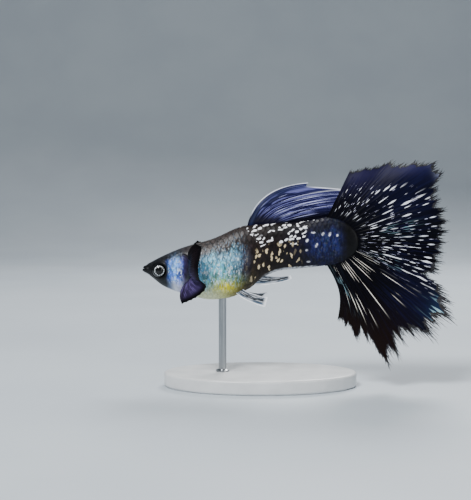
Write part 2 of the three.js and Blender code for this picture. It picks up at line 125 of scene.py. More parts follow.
def skin(station, angle):
    """A point of the skin; the angle runs from the back over the left side to the belly."""
    top, bottom, widest = section(station)
    up = np.cos(angle)
    side = -np.sin(angle)
    power = 2 / np.where(up >= 0, back_squareness(station), belly_squareness(station))
    height = np.where(up >= 0, top - widest, widest - bottom)
    width = half_width(station)
    y = np.sign(side) * np.abs(side) ** power * width
    z = widest + np.sign(up) * np.abs(up) ** power * height
    share = (z - (top + bottom) / 2) / ((top - bottom) / 2)
    x = station + section_bulge(station) * np.maximum(-0.2, 1 - share**2)
    x = x + snout_sweep(station) * (y / width) ** 2
    return np.stack([x, y + sway(x), z], -1)


def side_out(x, z):
    """Half the body's width at a height."""
    top, bottom, widest = section(x)
    power = np.where(z >= widest, back_squareness(x), belly_squareness(x))
    height = np.where(z >= widest, top - widest, widest - bottom)
    return half_width(x) * (1 - np.minimum(1, np.abs(z - widest) / height) ** power) ** (1 / power)


def stalk_end():
    """Middle height and half height of the stalk's end, and how far its rounded end bulges to the rear."""
    top, bottom, _ = section(STALK_END)
    return (top + bottom) / 2, (top - bottom) / 2, section_bulge(STALK_END)


def under_at(x, off):
    """Height of the belly at a distance off the middle line."""
    _, bottom, widest = section(x)
    power = belly_squareness(x)
    return widest - (widest - bottom) * (1 - (abs(off) / half_width(x)) ** power) ** (1 / power)


# Pieces


def unit(vectors):
    """The vectors at a length of 1."""
    return vectors / np.maximum(np.linalg.norm(vectors, axis=-1, keepdims=True), 1e-9)


def normals_of(points):
    """Unit normals of a grid of points."""
    return unit(np.cross(np.gradient(points, axis=0), np.gradient(points, axis=1)))


def new_grid(points, map_name, flat_places, backs=None, strips=False):
    """A new grid of vertices moved to the points, with a UV map.

    With backs, a second sheet is extruded from the first and moved there, which closes it all round. As
    strips, the faces between columns 1 and 2, 3 and 4 and so on are left out. Each vertex keeps the number
    of its point as "spot".
    """
    rows, columns = points.shape[0] - 1, points.shape[1] - 1
    bm = bmesh.new()
    spot = bm.verts.layers.int.new("spot")
    made = bmesh.ops.create_grid(bm, x_segments=columns, y_segments=rows, size=1)["verts"]
    for vert in made:
        column = round((vert.co.x + 1) / 2 * columns)
        row = round((vert.co.y + 1) / 2 * rows)
        vert[spot] = row * (columns + 1) + column
    if strips:
        between = [face for face in bm.faces if min(vert[spot] % (columns + 1) for vert in face.verts) % 2]
        bmesh.ops.delete(bm, geom=between, context="FACES")
    places = [(made, points)]
    if backs is not None:
        lifted = bmesh.ops.extrude_face_region(bm, geom=bm.faces[:], use_keep_orig=True)
        copies = [item for item in lifted["geom"] if isinstance(item, bmesh.types.BMVert)]
        places.append((copies, backs))
    for verts, grid in places:
        flat = ((grid + (SNOUT_X, 0, SNOUT_Z)) * MM).reshape(-1, 3).tolist()
        for vert in verts:
            vert.co = flat[vert[spot]]
    layer = bm.loops.layers.uv.new(map_name)
    flat = flat_places.reshape(-1, 2).tolist()
    for vert in bm.verts:
        for loop in vert.link_loops:
            loop[layer].uv = flat[vert[spot]]
    return bm


def new_mesh(name, bm, material):
    """A smooth mesh with its material; the bmesh is used up."""
    mesh = bpy.data.meshes.new(name)
    bm.to_mesh(mesh)
    bm.free()
    mesh.shade_smooth()
    mesh.materials.append(material)
    return mesh


def put_in_scene(name, data):
    """An object at the origin."""
    thing = bpy.data.objects.new(name, data)
    bpy.context.scene.collection.objects.link(thing)
    return thing


def finish_piece(name, bm, material, nodes, weld=0, sharp=60, paints=None):
    """Makes a grid a piece that rides on the root and stands for the named nodes.

    Paints are colours for each of its points. Vertices closer than weld are merged, and edges sharper than
    sharp degrees stay crisp.
    """
    spot = bm.verts.layers.int["spot"]
    for paint, colours in (paints or {}).items():
        layer = bm.verts.layers.float_color.new(paint)
        flat = colours.reshape(-1, 4).tolist()
        for vert in bm.verts:
            vert[layer] = flat[vert[spot]]
    if weld:
        bmesh.ops.remove_doubles(bm, verts=bm.verts[:], dist=weld)
    bmesh.ops.recalc_face_normals(bm, faces=bm.faces[:])
    mesh = new_mesh(name, bm, material)
    mesh.attributes.remove(mesh.attributes["spot"])
    mesh.set_sharp_from_angle(angle=math.radians(sharp))
    piece = put_in_scene(name, mesh)
    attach(piece, "root")
    if nodes:
        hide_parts(*nodes)


# Materials
SOFT = {"interpolation_type": "SMOOTHSTEP"}  # a map range with soft ends
TINT = {"data_type": "RGBA"}  # a mix of colours
TIMES = {"operation": "MULTIPLY"}


def feed(tree, socket, value):
    """Gives a socket a value, or links it to another socket or to a node's first output."""
    if isinstance(value, bpy.types.Node):
        value = next(output for output in value.outputs if output.enabled)
    if isinstance(value, bpy.types.NodeSocket):
        tree.links.new(value, socket)
    else:
        socket.default_value = value


def node(tree, kind, inputs=None, **settings):
    """Adds a shader node with its settings and links."""
    made = tree.nodes.new("ShaderNode" + kind)
    for key, value in settings.items():
        setattr(made, key, value)
    for key, value in (inputs or {}).items():
        named = (socket for socket in made.inputs if socket.enabled and socket.name == key)
        feed(tree, made.inputs[key] if isinstance(key, int) else next(named), value)
    return made


def new_material(name):
    """An empty node material: its node adder, and a call that closes it with the surface's values."""
    material = bpy.data.materials.new(name)
    material.use_nodes = True
    tree = material.node_tree
    surface = next(made for made in tree.nodes if made.type == "BSDF_PRINCIPLED")

    def close(**values):
        for key, value in values.items():
            feed(tree, surface.inputs[key.replace("_", " ")], value)
        return material

    return partial(node, tree), close


def rgba(code):
    """A hex colour as a node takes it."""
    return (*to_linear(code), 1)


def in_cells(add, place, size, turn=(0, 0, 0)):
    """Turns a place and counts it in cells of the given size, in the place's own unit."""
    turned = add("Mapping", {"Vector": place, "Rotation": [math.radians(degrees) for degrees in turn]})
    return add("Mapping", {"Vector": turned, "Scale": [1 / side for side in size]})


def in_mm_cells(add, x, y, z, tilt=0):
    """The place on the object, counted in cells of x by y by z millimetres that lean by tilt degrees."""
    place = add("TexCoord").outputs["Object"]
    return in_cells(add, place, (x * MM, y * MM, z * MM), (0, tilt, 0))


SCALE_PITCH = 0.8  # millimetres of one scale along the body
SCALE_ROWS = 13  # rows of scales from back to belly
SCALE_RADIUS = 0.82  # of a scale's rounded edge, as a share of its pitch
SCALE_SQUASH = 0.86  # a row counts as this share of a pitch


def scale_cover(x, down):
    """How far along its scale each point lies: 0 at the front of what shows, 1 at the free rear edge."""
    along = x / SCALE_PITCH
    row = down * SCALE_ROWS
    best = np.full_like(along, np.inf)
    shown = np.zeros_like(along)
    for row_shift in (-1, 0, 1):
        middle_row = np.floor(row) + row_shift
        offset = 0.5 * (middle_row % 2)
        for column_shift in (-1, 0, 1, 2):
            middle = np.floor(along - offset) + column_shift + offset
            reach = np.hypot(along - middle, (row - middle_row - 0.5) * SCALE_SQUASH)
            on_top = (reach < SCALE_RADIUS) & (middle < best)
            best = np.where(on_top, middle, best)
            shown = np.where(on_top, reach / SCALE_RADIUS, shown)
    return shown


def skin_material():
    """Wet fish skin: a painted ground that glints like foil, pale marks, and the dark net of the scales."""
    add, close = new_material("guppy skin")
    ground = add("Attribute", attribute_name="ground")
    shine = ground.outputs["Alpha"]
    paint = add("Attribute", attribute_name="marks")
    marks = add("SeparateColor", {"Color": paint}).outputs

    # blotches of pigment half a millimetre wide, as its single spots are too fine to show
    pigment = add("TexNoise", {"Vector": in_mm_cells(add, 0.45, 0.45, 0.85), "Scale": 1, "Detail": 4})
    depth = add("MapRange", {"Value": pigment, "From Min": 0.32, "From Max": 0.68}, **SOFT)
    shade = add("Mix", {"Factor": depth, "A": (0.1, 0.1, 0.12, 1), "B": (1.4, 1.4, 1.4, 1)}, **TINT)
    speckle = {"Factor": paint.outputs["Alpha"], "A": ground, "B": shade}
    colour = add("Mix", speckle, blend_type="MULTIPLY", **TINT)

    # the silver layer under the scales, with its glints painted into the colour: its crystals are too fine
    # to show, so it is drawn as upright streaks and flecks 0.2 to 0.4 mm wide, blue to white
    streak = add("TexNoise", {"Vector": in_mm_cells(add, 0.2, 0.4, 0.85), "Scale": 1, "Detail": 3})
    fleck = add("TexNoise", {"Vector": in_mm_cells(add, 0.3, 0.3, 0.35), "Scale": 1, "Detail": 2})
    streaked = add("MapRange", {"Value": streak, "From Min": 0.47, "From Max": 0.68, "To Max": 0.95}, **SOFT)
    flecked = add("MapRange", {"Value": fleck, "From Min": 0.58, "From Max": 0.7, "To Max": 0.95}, **SOFT)
    glint = add("Math", {0: streaked, 1: flecked}, operation="MAXIMUM")
    glint = add("Math", {0: glint, 1: shine}, **TIMES)
    white = add("MapRange", {"Value": fleck, "From Min": 0.44, "From Max": 0.6}, **SOFT)
    silver = add("Mix", {"Factor": white, "A": rgba("#70c0f4"), "B": rgba("#f0faff")}, **TINT)
    colour = add("Mix", {"Factor": glint, "A": colour, "B": silver}, **TINT)

    # the dark net along the scales' free edges
    net = add("Math", {0: marks["Blue"], 1: 0.8}, **TIMES)
    colour = add("Mix", {"Factor": net, "A": colour, "B": rgba("#0b090c")}, **TINT)

    # worm marks: white squiggles 0.9 by 0.5 mm that slant along the back, fewer where less is painted
    warp = add("TexNoise", {"Vector": in_mm_cells(add, 0.7, 0.7, 0.7), "Scale": 1, "Detail": 1})
    warp = warp.outputs["Color"]
    slanted = in_cells(add, add("UVMap", uv_map="place"), (0.92, 0.5, 1), (0, 0, 24))
    shifted = add("VectorMath", {0: slanted, 1: (3.4, 7.7, 0)})
    pushed = add("VectorMath", {0: warp, 1: (1.2, 1.2, 0)}, **TIMES)
    bent = add("VectorMath", {0: shifted, 1: pushed})
    worms = add("TexVoronoi", {"Vector": bent, "Scale": 1}, voronoi_dimensions="2D")
    lot = add("SeparateColor", {"Color": worms.outputs["Color"]}).outputs
    smaller = add("Math", {0: lot["Green"], 1: 0.12}, **TIMES)
    off = add("Math", {0: worms, 1: smaller})
    worm = add("MapRange", {"Value": off, "From Min": 0.45, "From Max": 0.33}, **SOFT)
    chance = add("Math", {0: lot["Red"], 1: marks["Red"]})
    kept = add("MapRange", {"Value": chance, "From Min": 1.32, "From Max": 1.36}, **SOFT)
    worm = add("Math", {0: worm, 1: kept}, **TIMES)
    colour = add("Mix", {"Factor": worm, "A": colour, "B": rgba("#fdfcff")}, **TINT)

    # golden commas below them, 0.6 by 1.25 mm and nearly upright
    bent = add("VectorMath", {0: in_mm_cells(add, 0.62, 1.2, 1.25, tilt=-8), 1: warp})
    commas = add("TexVoronoi", {"Vector": bent, "Scale": 1, "Randomness": 0.85})
    comma = add("MapRange", {"Value": commas, "From Min": 0.4, "From Max": 0.28}, **SOFT)
    lot = add("SeparateColor", {"Color": commas.outputs["Color"]})
    kept = add("MapRange", {"Value": lot, "From Min": 0.3, "From Max": 0.38}, **SOFT)
    comma = add("Math", {0: comma, 1: kept}, **TIMES)
    comma = add("Math", {0: comma, 1: marks["Green"]}, **TIMES)
    colour = add("Mix", {"Factor": comma, "A": colour, "B": rgba("#dcc8a0")}, **TINT)

    # wet sheen over a fine grain of 0.12 mm
    grain = add("TexNoise", {"Vector": in_mm_cells(add, 0.12, 0.12, 0.12), "Scale": 1, "Detail": 3})
    bump = add("Bump", {"Strength": 0.25, "Distance": 0.03 * MM, "Height": grain})
    rough = add("MapRange", {"Value": pigment, "To Min": 0.34, "To Max": 0.55})
    metal = add("Math", {0: shine, 1: 0.15}, **TIMES)
    wet = {"Specular_IOR_Level": 0.14, "Coat_Weight": 0.06, "Coat_Roughness": 0.15}
    return close(Base_Color=colour, Roughness=rough, Metallic=metal, Normal=bump, **wet)


def eye_material():
    """A wet eye under a clear cornea: sharp highlights, black pupil, broken silver iris and dark rim."""
    add, close = new_material("guppy eye")
    place = add("UVMap", uv_map="disc")
    radius = add("VectorMath", {0: place}, operation="LENGTH")
    fleck = add("TexNoise", {"Vector": place, "Scale": 5.0, "Detail": 3})
    flecked = add("MapRange", {"Value": fleck, "From Min": 0.43, "From Max": 0.56}, **SOFT)
    silver = add("Mix", {"Factor": flecked, "A": rgba("#1a1d22"), "B": rgba("#eef2f6")}, **TINT)
    outside = add("MapRange", {"Value": radius, "From Min": 0.55, "From Max": 0.58}, **SOFT)
    iris = add("Mix", {"Factor": outside, "A": rgba("#020203"), "B": silver}, **TINT)
    ragged = add("Math", {0: fleck, 1: 0.25}, **TIMES)
    far = add("Math", {0: radius, 1: ragged})
    rim = add("MapRange", {"Value": far, "From Min": 0.8, "From Max": 0.86}, **SOFT)
    colour = add("Mix", {"Factor": rim, "A": iris, "B": rgba("#060709")}, **TINT)
    return close(Base_Color=colour, Roughness=0.12, Coat_Weight=0.3, Coat_Roughness=0.03, IOR=1.34)


def ray_lines(add, count):
    """A fin's ray map cut into lines: each line's number, the distance off its middle, and the way out."""
    place = add("SeparateXYZ", {"Vector": add("UVMap", uv_map="ray")}).outputs
    lines = add("Math", {0: place["X"], 1: count}, **TIMES)
    number = add("Math", {0: lines}, operation="FLOOR")
    part = add("Math", {0: lines, 1: 1.0}, operation="FLOORED_MODULO")
    off = add("Math", {0: part, 1: 0.5}, operation="SUBTRACT")
    off = add("Math", {0: off}, operation="ABSOLUTE")
    return number, off, place["Y"]


def dashes(add, count, pitch, level, thin):
    """Dashes with tapered ends along a fin's rays; pitch is the number of dashes from root to tip."""
    number, off, out = ray_lines(add, count)
    apart = add("Math", {0: number, 1: 7.31}, **TIMES)
    along = add("Math", {0: out, 1: pitch}, **TIMES)
    spot = add("CombineXYZ", {"X": apart, "Y": along})
    noise = add("TexNoise", {"Vector": spot, "Scale": 1, "Detail": 0}, noise_dimensions="2D")
    taper = add("Math", {0: off, 1: thin}, **TIMES)
    raised = add("Math", {0: noise, 1: taper}, operation="SUBTRACT")
    return add("MapRange", {"Value": raised, "From Min": level, "From Max": level + 0.035}, **SOFT)


def fin_material(name, streaks, streak_tone, streak_share, marks=(), roughness=0.4, clear=0):
    """Thin fin skin on rays: a dull painted ground with fine streaks, and dashes of pigment and painted
    glints along the rays.

    The streaks are counted across the fin, and are at most 0.4 mm wide at its rim, as its forked rays are.
    With clear, the membrane between that many rays is partly see-through.
    """
    add, close = new_material(name)
    ground = add("Attribute", attribute_name="ground")
    zones = add("SeparateColor", {"Color": add("Attribute", attribute_name="marks")}).outputs
    fine = add("Mapping", {"Vector": add("UVMap", uv_map="ray"), "Scale": (streaks, 3.0, 1)})
    noise = {"Vector": fine, "Scale": 1, "Detail": 3, "Distortion": 0.3}
    streak = add("TexNoise", noise, noise_dimensions="2D")
    shown = {"Value": streak, "From Min": 0.5, "From Max": 0.62, "To Max": streak_share}
    share = add("MapRange", shown, **SOFT)
    share = add("Math", {0: share, 1: ground.outputs["Alpha"]}, **TIMES)
    colour = add("Mix", {"Factor": share, "A": ground, "B": rgba(streak_tone)}, **TINT)
    for count, pitch, level, thin, zone, tone in marks:
        dash = add("Math", {0: dashes(add, count, pitch, level, thin), 1: zones[zone]}, **TIMES)
        colour = add("Mix", {"Factor": dash, "A": colour, "B": rgba(tone)}, **TINT)
    bump = add("Bump", {"Strength": 0.3, "Distance": 0.04 * MM, "Height": streak})
    alpha = 1.0
    if clear:
        off = ray_lines(add, clear)[1]
        ray = add("MapRange", {"Value": off, "From Min": 0.34, "From Max": 0.12}, **SOFT)
        solid = add("Math", {0: ray, 1: zones["Blue"]}, operation="MAXIMUM")
        alpha = add("MapRange", {"Value": solid, "To Min": 0.7, "To Max": 1.0})
    dull = {"Roughness": roughness, "Specular_IOR_Level": 0.06}
    return close(Base_Color=colour, Normal=bump, Alpha=alpha, **dull)


def plain_material(name, dark, light, cell, roughness, **values):
    """A made surface: two close tones in a fine grain of the given cell size in millimetres."""
    add, close = new_material(name)
    grain = add("TexNoise", {"Vector": in_mm_cells(add, *cell), "Scale": 1, "Detail": 4})
    toned = add("MapRange", {"Value": grain, "From Min": 0.3, "From Max": 0.7}, **SOFT)
    colour = add("Mix", {"Factor": toned, "A": rgba(dark), "B": rgba(light)}, **TINT)
    rough = add("MapRange", {"Value": grain, "To Min": roughness - 0.05, "To Max": roughness + 0.07})
    return close(Base_Color=colour, Roughness=rough, **values)


# Painting by place


def ramp(rows, x):
    """Linear colours at x along rows of (x, hex colour)."""
    xs = [row[0] for row in rows]
    tones = np.array([to_linear(row[1]) for row in rows])
    return np.stack([np.interp(x, xs, tones[:, i]) for i in range(3)], -1)


def blotch(colour, tone, strength):
    """Lays a tone over a painted colour, by a strength for each point."""
    return colour + (to_linear(tone) - colour) * np.clip(strength, 0, 1)[..., None]


def with_fourth(colour, last):
    """Colours with a fourth channel."""
    return np.concatenate([colour, np.broadcast_to(last, colour.shape[:-1])[..., None]], -1)


# Skin of the head, trunk and tail stalk in one
SKIN_ANGLES = 214  # faces round the body
SKIN_RINGS = 390  # rings along the body
FISH_WELD = 0.0005 * MM
# the lips' rings from inside the mouth outwards: place, half width and half height
LIP_RINGS = [
    (1.1, 0.35, 0.015), (0.6, 0.62, 0.02), (0.2, 0.74, 0.025), (0.02, 0.82, 0.09), (0.06, 0.94, 0.34),
    (0.45, 0.96, 0.57),
]
LIP_STEPS = 7  # rings between one lip ring and the next
STALK_TIP = 1.5  # the fleshy root of the tail fin reaches this far past the stalk's end
STALK_TIP_RINGS = 14
# the eye's middle, its place off the middle line, its size, and the cornea's rise over it
EYE = dict(x=2.75, z=-0.2, off=1.22, radius=1.12, depth=0.8, cornea=0.1, cornea_spread=0.6)
NOSTRIL = dict(x=1.55, off=0.62)
GILL = dict(front=4.55, rear=7.0, top=52, bottom=146)  # along in millimetres, round in degrees from the back

# the ground colour along the back, the flank and the belly, as rows of (distance from the snout, colour)
BACK_TONES = [
    (0, "#0d0e10"), (2, "#1b1c20"), (6, "#2a292d"), (9, "#443e3c"), (14, "#3d3533"), (17, "#211a18"),
    (21, "#0f0b0b"), (25, "#0d0b18"), (29, "#0d0f28"), (30.8, "#06061a"), (31.6, "#030306"),
]
FLANK_TONES = [
    (0, "#0a0b0d"), (1.4, "#1c1e22"), (3.6, "#1b1d22"), (4.3, "#3558b8"), (5.4, "#6b98ff"),
    (6.1, "#4f54c0"), (6.7, "#2a2048"), (7.3, "#1a142c"), (8.4, "#6cb0e2"), (10, "#7cccea"),
    (12.5, "#74c2ca"), (14.4, "#5c8898"), (15.8, "#3c3543"), (17.2, "#1f1614"), (21, "#171010"),
    (25, "#100e20"), (26.4, "#15194a"), (30.3, "#151a4c"), (31.1, "#0a0b26"), (31.8, "#030306"),
]
BELLY_TONES = [
    (0, "#121315"), (2.4, "#17191b"), (3.8, "#23282b"), (4.5, "#68738e"), (5.3, "#d0d4e4"),
    (6.1, "#a9a6c4"), (6.8, "#4f4b68"), (8.3, "#b7bfa2"), (10.5, "#c3c99c"), (12.6, "#a8a858"),
    (14.2, "#6d6734"), (16, "#3f3521"), (18, "#241b14"), (21, "#140f0d"), (25, "#0f0d1a"),
    (28, "#10123a"), (30.8, "#06061a"), (31.6, "#030306"),
]
# soft blotches: colour, strength, then middle and half width along and up
SKIN_BLOTCHES = [
    ("#8cb86c", 0.85, 12.0, 2.6, -1.6, 0.95),  # green above the belly
    ("#e4da24", 1.25, 12.9, 1.35, -2.6, 0.75),  # yellow of the belly
    ("#cdd3ac", 0.8, 10.6, 2.4, -4.3, 0.8),  # cream underside
    ("#86bcff", 0.9, 5.3, 0.7, 0.6, 1.1),  # bright middle of the cheek
    ("#a8d4f2", 0.5, 12.6, 2.2, 1.9, 0.7),  # bright upper flank
]
# white spots of the tail stalk: middle along and up, then half length along and up
STALK_SPOTS = [
    (25.3, 6.4, 0.3, 0.16), (25.55, 4.5, 0.18, 0.24), (27.0, 3.75, 0.13, 0.34), (28.0, 5.5, 0.16, 0.26),
    (29.05, 5.45, 0.12, 0.32), (26.5, 5.7, 0.3, 0.13), (25.5, 3.0, 0.16, 0.14), (25.8, 1.2, 0.26, 0.12),
    (30.2, 5.3, 0.1, 0.2),
]


def skin_points():
    """The skin's rings from inside the lips to the end of the tail stalk, with each ring's station."""
    angle = np.linspace(0, 2 * math.pi, SKIN_ANGLES + 1)
    lips = []
    for x, wide, high in LIP_RINGS:
        y = -np.sin(angle) * wide
        z = np.cos(angle) * high
        place = x + 0.3 * z + snout_sweep(0) * (y / wide) ** 2
        lips.append(np.stack([place, y + sway(place), z], -1))
    guides = np.array([lips[0], *lips, skin(HEAD_START, angle), skin(HEAD_START + 0.4, angle)])
    rings = []
    stations = []
    for k in range(1, len(guides) - 2):
        before, a, b, after = guides[k - 1 : k + 3]
        for u in np.arange(LIP_STEPS) / LIP_STEPS:
            bend = (b - before) * (u - 2 * u**2 + u**3) + (after - a) * (u**3 - u**2)
            rings.append(a * (1 - 3 * u**2 + 2 * u**3) + b * (3 * u**2 - 2 * u**3) + bend * 0.5)
            stations.append(HEAD_START * (k - 1 + u) / (len(guides) - 3))
    body = np.linspace(HEAD_START, STALK_END, SKIN_RINGS)
    rings.extend(skin(station, angle) for station in body)
    stations.extend(body)

    # the fleshy root of the tail fin thins out past the stalk's rounded end
    last = rings[-1]
    middle, half, bulge = stalk_end()
    share = (last[:, 2] - middle) / half
    outward = unit(np.stack([np.full_like(share, half), 0 * share, 2 * bulge * share], -1))
    reach = (0.1 + STALK_TIP * np.clip(1 - share**2, 0, 1))[:, None]
    for k in np.linspace(0, 1, STALK_TIP_RINGS + 1)[1:]:
        ring = last + outward * reach * k
        thin = math.sqrt(max(0, 1 - k * k))
        ring[:, 1] = sway(ring[:, 0]) + (last[:, 1] - sway(last[:, 0])) * thin
        rings.append(ring)
        stations.append(STALK_END + STALK_TIP * k)
    first = rings[0].copy()
    first[:, 1] = sway(first[:, 0])
    return np.array([first, *rings]), np.array([0, *stations]), angle


def skin_relief(points, stations, angle):
    """How far the skin stands proud of its plain form, in millimetres."""
    x, z = points[..., 0], points[..., 2]
    y = points[..., 1] - sway(x)
    station = stations[:, None] + 0 * angle
    turn = np.minimum(angle, 2 * math.pi - angle)[None] + 0 * station
    lift = np.zeros_like(x)

    # eye sockets with a soft raised rim
    off_eye = np.hypot(x - EYE["x"], z - EYE["z"])
    flank = smooth(0.5, 0.9, np.abs(y))
    lift += flank * (0.06 * hill(off_eye, 1.26, 0.14) - 0.62 * smooth(1.09, 0.9, off_eye))
    # the cheek's crescent fold behind the eye
    behind = smooth(-0.6, 0.6, x - EYE["x"])
    lift -= 0.035 * flank * behind * hill(off_eye, 1.85, 0.09)
    # nostrils
    for side in SIDES.values():
        under_jaw = 2 * (z < 0)  # keeps the pits off the lower jaw
        off_nostril = np.hypot(x - NOSTRIL["x"], y - side * NOSTRIL["off"]) + under_jaw
        lift += 0.04 * hill(off_nostril, 0.2, 0.07) - 0.16 * smooth(0.17, 0.06, off_nostril)
    # fold at the corner of the mouth
    corner = np.abs((x - 0.9) * 0.55 + (z + 0.35) * 0.83)
    jaw = smooth(0.3, 0.6, x) * smooth(1.9, 1.3, x) * smooth(0.3, 0.0, z)
    lift -= 0.05 * hill(corner, 0, 0.08) * jaw * flank

    # gill covers: a rounded plate with a free rear edge
    along = (station - (GILL["front"] + GILL["rear"]) / 2) / ((GILL["rear"] - GILL["front"]) / 2)
    across = (np.degrees(turn) - (GILL["top"] + GILL["bottom"]) / 2) / ((GILL["bottom"] - GILL["top"]) / 2)
    edge = (np.abs(along) ** 2.3 + np.abs(across) ** 2.3) ** (1 / 2.3)
    rear = smooth(-0.5, 0.5, along)
    lift += 0.13 * smooth(1.02, 0.93 - 0.5 * (1 - rear), edge)
    lift -= 0.16 * rear * hill(edge, 1.1, 0.07)
    lift -= 0.04 * hill(along + 0.25 * across**2, -0.25, 0.07) * smooth(0.9, 0.6, edge)

    # scales lie over each other like tiles, each with its free rear edge up
    scaled = smooth(6.9, 8.2, station) * smooth(30.5, 28, station)
    shown = scale_cover(x, turn / math.pi)
    lift += 0.035 * scaled * shown**2
    return lift


def paint_skin(points, stations, angle):
    """The skin's paints: ground colour and shine, and the zones of worm marks, commas, net and speckle."""
    x, z = points[..., 0], points[..., 2]
    station = stations[:, None] + 0 * angle
    down = np.minimum(angle, 2 * math.pi - angle)[None] / math.pi  # 0 on the back, 1 under the belly
    down = down + 0 * station
    wavy = 0.03 * np.sin(1.7 * x + 2) + 0.02 * np.sin(4.1 * x)
    low = smooth(0.56, 0.74, down + wavy)
    high = smooth(0.4, 0.27, down + wavy)
    colour = ramp(FLANK_TONES, x)
    colour += (ramp(BACK_TONES, x) - colour) * high[..., None]
    colour += (ramp(BELLY_TONES, x) - colour) * low[..., None]
    colour = blotch(colour, "#07070a", smooth(0.9, 0.2, x - 0.2))  # black tip of the snout
    off_eye = np.hypot(x - EYE["x"], z - EYE["z"])
    colour = blotch(colour, "#0a0b0e", smooth(1.75, 1.25, off_eye))  # dark ring round the eye
    shade = 0.85 * hill(x, 7.6, 0.7) * smooth(0.35, 0.5, down)
    colour = blotch(colour, "#23202e", shade)  # painted shade behind the gill covers
    for tone, strength, at_x, long, at_z, tall in SKIN_BLOTCHES:
        colour = blotch(colour, tone, strength * hill(x, at_x, long) * hill(z, at_z, tall))
    pale_line = 0.8 * smooth(18, 21, x) * smooth(27.5, 26, x) * smooth(0.85, 0.9, down)
    colour = blotch(colour, "#d5d8de", pale_line)  # along the stalk's underside
    for at_x, at_z, long, tall in STALK_SPOTS:
        spot = hill(x - 0.3 * (z - at_z), at_x, long) * hill(z, at_z, tall)
        colour = blotch(colour, "#eceef8", smooth(0.2, 0.5, spot))

    # shine: where the silver layer shows with its painted glints, on the flank, the cheek and the stalk
    flank = hill(down, 0.5, 0.2) * smooth(7.8, 8.8, x) * smooth(17.0, 13.6, x)
    cheek = 0.85 * smooth(3.9, 4.5, x) * smooth(6.7, 6.0, x) * hill(down, 0.54, 0.2)
    stalk = 0.04 * smooth(25.5, 27, x) * smooth(31.5, 30, x) * hill(down, 0.5, 0.3)
    shine = np.clip(flank + cheek + stalk, 0, 1)
    lowest = 0.26 + 0.24 * smooth(16.4, 19, x) - 0.3 * smooth(25, 27.5, x)
    worms = smooth(14.0, 17.0, x) * smooth(29.6, 25, x) * smooth(lowest + 0.05, lowest - 0.12, down)
    commas = smooth(15.8, 18.2, x) * smooth(25.0, 23.8, x) * smooth(0.4, 0.5, down) * smooth(0.92, 0.8, down)
    on_back = smooth(0.46, 0.32, down) * smooth(6, 8.5, x) * smooth(20, 16, x)
    strength = 0.36 + 0.64 * on_back + 0.3 * smooth(24, 27, x)
    net = strength * smooth(0.72, 0.98, scale_cover(x, down)) * smooth(6.8, 8, x) * smooth(31, 29, x)
    speckle = 0.7 - 0.52 * smooth(0.6, 0.76, down) * smooth(17, 14, x)
    return with_fourth(colour, shine), np.stack([worms, commas, net, speckle], -1)


def make_skin():
    points, stations, angle = skin_points()
    ground, marks = paint_skin(points, stations, angle)
    normal = normals_of(points)
    normal[:, 0] = normal[:, -1] = unit(normal[:, 0] + normal[:, -1])  # the seam along the back
    middle = len(points) // 2  # a ring that shows whether the normals point in or out
    outward = np.sign((normal[middle, :, 1] * (points[middle, :, 1] - sway(points[middle, :, 0]))).sum())
    lift = skin_relief(points, stations, angle)
    lift[:3] = 0  # plain where the rings close
    lift[-3:] = 0
    points = points + normal * outward * lift[..., None]

    # the map of the skin, in millimetres: distance from the snout, and round from the back
    steps = np.linalg.norm(np.diff(points[..., 1:], axis=1), axis=-1)
    around = np.concatenate([0 * steps[:, :1], np.cumsum(steps, 1)], 1)
    place = np.stack([points[..., 0], np.minimum(around, around[:, -1:] - around)], -1)
    bm = new_grid(points, "place", place)
    nodes = ("head", "trunk", "tail_stalk", "gill_cover_left", "gill_cover_right")
    paints = {"ground": ground, "marks": marks}
    finish_piece("skin", bm, skin_material(), nodes, FISH_WELD, sharp=75, paints=paints)


def make_eyes():
    material = eye_material()
    polar = np.linspace(0, math.pi, 33)[:, None]  # from the middle of the pupil to the back of the eye
    around = np.linspace(0, 2 * math.pi, 65)[None]
    for name, side in SIDES.items():
        cornea = EYE["depth"] * (1 + EYE["cornea"] * hill(polar, 0, EYE["cornea_spread"]))
        disc_x = np.sin(polar) * np.cos(around)
        disc_z = np.sin(polar) * np.sin(around)
        x = EYE["x"] + EYE["radius"] * disc_x
        y = side * (EYE["off"] + cornea * np.cos(polar)) + sway(EYE["x"]) + 0 * around
        z = EYE["z"] + EYE["radius"] * disc_z
        bm = new_grid(np.stack([x, y, z], -1), "disc", np.stack([disc_x, disc_z], -1))
        finish_piece("eyeball_" + name, bm, material, ("eye_" + name,), FISH_WELD)


# Fins: on each sheet, t runs across the fin from its first ray to its last, and v out from root to rim


def bow(a, b, c, v):
    """A curve that leaves a towards b and ends at c."""
    near = a + (b - a) * v
    far = b + (c - b) * v
    return near + (far - near) * v


def draws(seed, count):
    """Scattered values between 0 and 1, drawn as the solid model draws them."""
    state = seed
    values = []
    for _ in range(count):
        state = (state * 1664525 + 1013904223) % 2**32
        values.append(state / 2**32)
    return np.array(values)


# the dorsal sail's rim
dorsal_tip_x = curve([(0, 25.9), (0.1, 25.6), (0.2, 32.0), (0.5, 32.8), (1, 31.2)])
dorsal_tip_z = curve([(0, 13.4), (0.12, 12.8), (0.2, 12.3), (0.5, 10.9), (1, 8.2)])


def dorsal_sheet(t, v):
    """The dorsal sail, swept back and leaning to the far side."""
    x = 16.3 + 5.6 * t
    px = bow(x, 17.7 + 7.6 * t, dorsal_tip_x(t), v)
    pz = bow(back(x) + ROOTED, 12.9 - 5.5 * t, dorsal_tip_z(t), v)
    lift = np.maximum(0, pz - back(x) - 0.3)
    y = sway(x) + 0.24 * lift + 0.13 * np.maximum(0, px - 21.9)
    return np.stack([px, y, pz], -1)


def anal_sheet(t, v):
    """The male's narrow anal fin, which bends to the rear."""
    x = 17.2 + 1.7 * t
    px = bow(x, 20.3 + 0.3 * t, 23.3 - 0.2 * t, v)
    pz = bow(belly(x) - ROOTED, -2.75 + 1.5 * t, -1.5 + 0.5 * t, v)
    return np.stack([px, sway(px), pz], -1)


